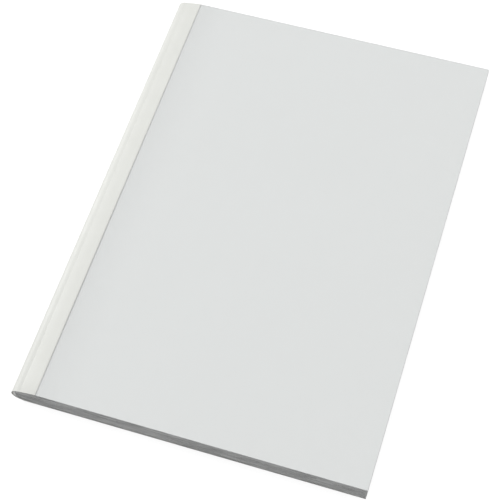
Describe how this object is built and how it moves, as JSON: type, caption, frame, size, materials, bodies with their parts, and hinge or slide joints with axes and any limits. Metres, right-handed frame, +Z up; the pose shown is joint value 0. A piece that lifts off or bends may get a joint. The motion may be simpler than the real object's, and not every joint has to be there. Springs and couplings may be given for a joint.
{
  "type": "thermally bound document",
  "caption": "A4 document glued into a soft thermal binding cover: creased card spine and back, clear front sheet under a card flap, leaves that turn with the cover.",
  "frame": {"origin": "middle of the underside of the closed document, on the surface it lies on", "axes": "+X from the spine to the fore-edge, +Y from the tail to the head of the pages, +Z up through the front sheet"},
  "size_m": [0.2126, 0.297, 0.0141],
  "materials": {
    "card": "white solid card with a faint gloss coating on its outer face",
    "clear_film": "clear glossy front sheet that greys the white page under it a little",
    "clear_glue": "thin clear glue line",
    "hot_melt": "milky hot-melt adhesive",
    "leaf_paper": "white office paper, matt, cut edges"
  },
  "bodies": {
    "spine": {"spine_wrap": "card", "spine_adhesive": "hot_melt", "bound_edges_01": "leaf_paper", "bound_edges_02": "leaf_paper", "bound_edges_03": "leaf_paper", "bound_edges_04": "leaf_paper", "bound_edges_05": "leaf_paper", "bound_edges_06": "leaf_paper", "bound_edges_07": "leaf_paper", "bound_edges_08": "leaf_paper", "bound_edges_09": "leaf_paper", "bound_edges_10": "leaf_paper", "bound_edges_11": "leaf_paper", "bound_edges_12": "leaf_paper", "bound_edges_13": "leaf_paper", "bound_edges_14": "leaf_paper", "bound_edges_15": "leaf_paper", "bound_edges_16": "leaf_paper", "bound_edges_17": "leaf_paper", "bound_edges_18": "leaf_paper", "bound_edges_19": "leaf_paper", "bound_edges_20": "leaf_paper"},
    "front_cover": {"front_flap": "card", "film_glue_line": "clear_glue", "front_film": "clear_film"},
    "rear_cover": {"back_cover": "card"},
    "turning_leaves_01": {"leaves_01": "leaf_paper"},
    "turning_leaves_02": {"leaves_02": "leaf_paper"},
    "turning_leaves_03": {"leaves_03": "leaf_paper"},
    "turning_leaves_04": {"leaves_04": "leaf_paper"},
    "turning_leaves_05": {"leaves_05": "leaf_paper"},
    "turning_leaves_06": {"leaves_06": "leaf_paper"},
    "turning_leaves_07": {"leaves_07": "leaf_paper"},
    "turning_leaves_08": {"leaves_08": "leaf_paper"},
    "turning_leaves_09": {"leaves_09": "leaf_paper"},
    "turning_leaves_10": {"leaves_10": "leaf_paper"},
    "turning_leaves_11": {"leaves_11": "leaf_paper"},
    "turning_leaves_12": {"leaves_12": "leaf_paper"},
    "turning_leaves_13": {"leaves_13": "leaf_paper"},
    "turning_leaves_14": {"leaves_14": "leaf_paper"},
    "turning_leaves_15": {"leaves_15": "leaf_paper"},
    "turning_leaves_16": {"leaves_16": "leaf_paper"},
    "turning_leaves_17": {"leaves_17": "leaf_paper"},
    "turning_leaves_18": {"leaves_18": "leaf_paper"},
    "turning_leaves_19": {"leaves_19": "leaf_paper"},
    "turning_leaves_20": {"leaves_20": "leaf_paper"}
  },
  "joints": [
    {"name": "front_cover_fold", "type": "hinge", "parent": "spine", "child": "front_cover", "pos_m": [-0.10027, 0, 0.01224], "axis": [0, -1, 0], "range_deg": [0, 175]},
    {"name": "back_cover_fold", "type": "hinge", "parent": "spine", "child": "rear_cover", "pos_m": [-0.09927, 0, 0], "axis": [0, 1, 0], "range_deg": [0, 175]},
    {"name": "leaves_01_turn", "type": "hinge", "parent": "spine", "child": "turning_leaves_01", "pos_m": [-0.08931, 0, 0.0136], "axis": [0, -1, 0], "range_deg": [0, 150]},
    {"name": "leaves_02_turn", "type": "hinge", "parent": "spine", "child": "turning_leaves_02", "pos_m": [-0.08683, 0, 0.01294], "axis": [0, -1, 0], "range_deg": [0, 142.5]},
    {"name": "leaves_03_turn", "type": "hinge", "parent": "spine", "child": "turning_leaves_03", "pos_m": [-0.08487, 0, 0.01227], "axis": [0, -1, 0], "range_deg": [0, 135]},
    {"name": "leaves_04_turn", "type": "hinge", "parent": "spine", "child": "turning_leaves_04", "pos_m": [-0.08326, 0, 0.01161], "axis": [0, -1, 0], "range_deg": [0, 127.5]},
    {"name": "leaves_05_turn", "type": "hinge", "parent": "spine", "child": "turning_leaves_05", "pos_m": [-0.08191, 0, 0.01094], "axis": [0, -1, 0], "range_deg": [0, 120]},
    {"name": "leaves_06_turn", "type": "hinge", "parent": "spine", "child": "turning_leaves_06", "pos_m": [-0.08075, 0, 0.01027], "axis": [0, -1, 0], "range_deg": [0, 112.5]},
    {"name": "leaves_07_turn", "type": "hinge", "parent": "spine", "child": "turning_leaves_07", "pos_m": [-0.07976, 0, 0.00961], "axis": [0, -1, 0], "range_deg": [0, 105]},
    {"name": "leaves_08_turn", "type": "hinge", "parent": "spine", "child": "turning_leaves_08", "pos_m": [-0.07889, 0, 0.00894], "axis": [0, -1, 0], "range_deg": [0, 97.5]},
    {"name": "leaves_09_turn", "type": "hinge", "parent": "spine", "child": "turning_leaves_09", "pos_m": [-0.07813, 0, 0.00828], "axis": [0, -1, 0], "range_deg": [0, 90]},
    {"name": "leaves_10_turn", "type": "hinge", "parent": "spine", "child": "turning_leaves_10", "pos_m": [-0.07746, 0, 0.00761], "axis": [0, -1, 0], "range_deg": [0, 82.5]},
    {"name": "leaves_11_turn", "type": "hinge", "parent": "spine", "child": "turning_leaves_11", "pos_m": [-0.07688, 0, 0.00694], "axis": [0, -1, 0], "range_deg": [0, 75]},
    {"name": "leaves_12_turn", "type": "hinge", "parent": "spine", "child": "turning_leaves_12", "pos_m": [-0.07637, 0, 0.00628], "axis": [0, -1, 0], "range_deg": [0, 67.5]},
    {"name": "leaves_13_turn", "type": "hinge", "parent": "spine", "child": "turning_leaves_13", "pos_m": [-0.07592, 0, 0.00561], "axis": [0, -1, 0], "range_deg": [0, 60]},
    {"name": "leaves_14_turn", "type": "hinge", "parent": "spine", "child": "turning_leaves_14", "pos_m": [-0.07554, 0, 0.00495], "axis": [0, -1, 0], "range_deg": [0, 52.5]},
    {"name": "leaves_15_turn", "type": "hinge", "parent": "spine", "child": "turning_leaves_15", "pos_m": [-0.07521, 0, 0.00428], "axis": [0, -1, 0], "range_deg": [0, 45]},
    {"name": "leaves_16_turn", "type": "hinge", "parent": "spine", "child": "turning_leaves_16", "pos_m": [-0.07494, 0, 0.00361], "axis": [0, -1, 0], "range_deg": [0, 37.5]},
    {"name": "leaves_17_turn", "type": "hinge", "parent": "spine", "child": "turning_leaves_17", "pos_m": [-0.07471, 0, 0.00295], "axis": [0, -1, 0], "range_deg": [0, 30]},
    {"name": "leaves_18_turn", "type": "hinge", "parent": "spine", "child": "turning_leaves_18", "pos_m": [-0.07453, 0, 0.00228], "axis": [0, -1, 0], "range_deg": [0, 22.5]},
    {"name": "leaves_19_turn", "type": "hinge", "parent": "spine", "child": "turning_leaves_19", "pos_m": [-0.0744, 0, 0.00162], "axis": [0, -1, 0], "range_deg": [0, 15]},
    {"name": "leaves_20_turn", "type": "hinge", "parent": "spine", "child": "turning_leaves_20", "pos_m": [-0.07431, 0, 0.00095], "axis": [0, -1, 0], "range_deg": [0, 7.5]}
  ],
  "couplings": [
    {"joint": "leaves_01_turn", "follows": "front_cover_fold", "ratio": 0.85714},
    {"joint": "leaves_02_turn", "follows": "front_cover_fold", "ratio": 0.81429},
    {"joint": "leaves_03_turn", "follows": "front_cover_fold", "ratio": 0.77143},
    {"joint": "leaves_04_turn", "follows": "front_cover_fold", "ratio": 0.72857},
    {"joint": "leaves_05_turn", "follows": "front_cover_fold", "ratio": 0.68571},
    {"joint": "leaves_06_turn", "follows": "front_cover_fold", "ratio": 0.64286},
    {"joint": "leaves_07_turn", "follows": "front_cover_fold", "ratio": 0.6},
    {"joint": "leaves_08_turn", "follows": "front_cover_fold", "ratio": 0.55714},
    {"joint": "leaves_09_turn", "follows": "front_cover_fold", "ratio": 0.51428},
    {"joint": "leaves_10_turn", "follows": "front_cover_fold", "ratio": 0.47143},
    {"joint": "leaves_11_turn", "follows": "front_cover_fold", "ratio": 0.42857},
    {"joint": "leaves_12_turn", "follows": "front_cover_fold", "ratio": 0.38571},
    {"joint": "leaves_13_turn", "follows": "front_cover_fold", "ratio": 0.34286},
    {"joint": "leaves_14_turn", "follows": "front_cover_fold", "ratio": 0.3},
    {"joint": "leaves_15_turn", "follows": "front_cover_fold", "ratio": 0.25714},
    {"joint": "leaves_16_turn", "follows": "front_cover_fold", "ratio": 0.21429},
    {"joint": "leaves_17_turn", "follows": "front_cover_fold", "ratio": 0.17143},
    {"joint": "leaves_18_turn", "follows": "front_cover_fold", "ratio": 0.12857},
    {"joint": "leaves_19_turn", "follows": "front_cover_fold", "ratio": 0.085714},
    {"joint": "leaves_20_turn", "follows": "front_cover_fold", "ratio": 0.042857}
  ]
}
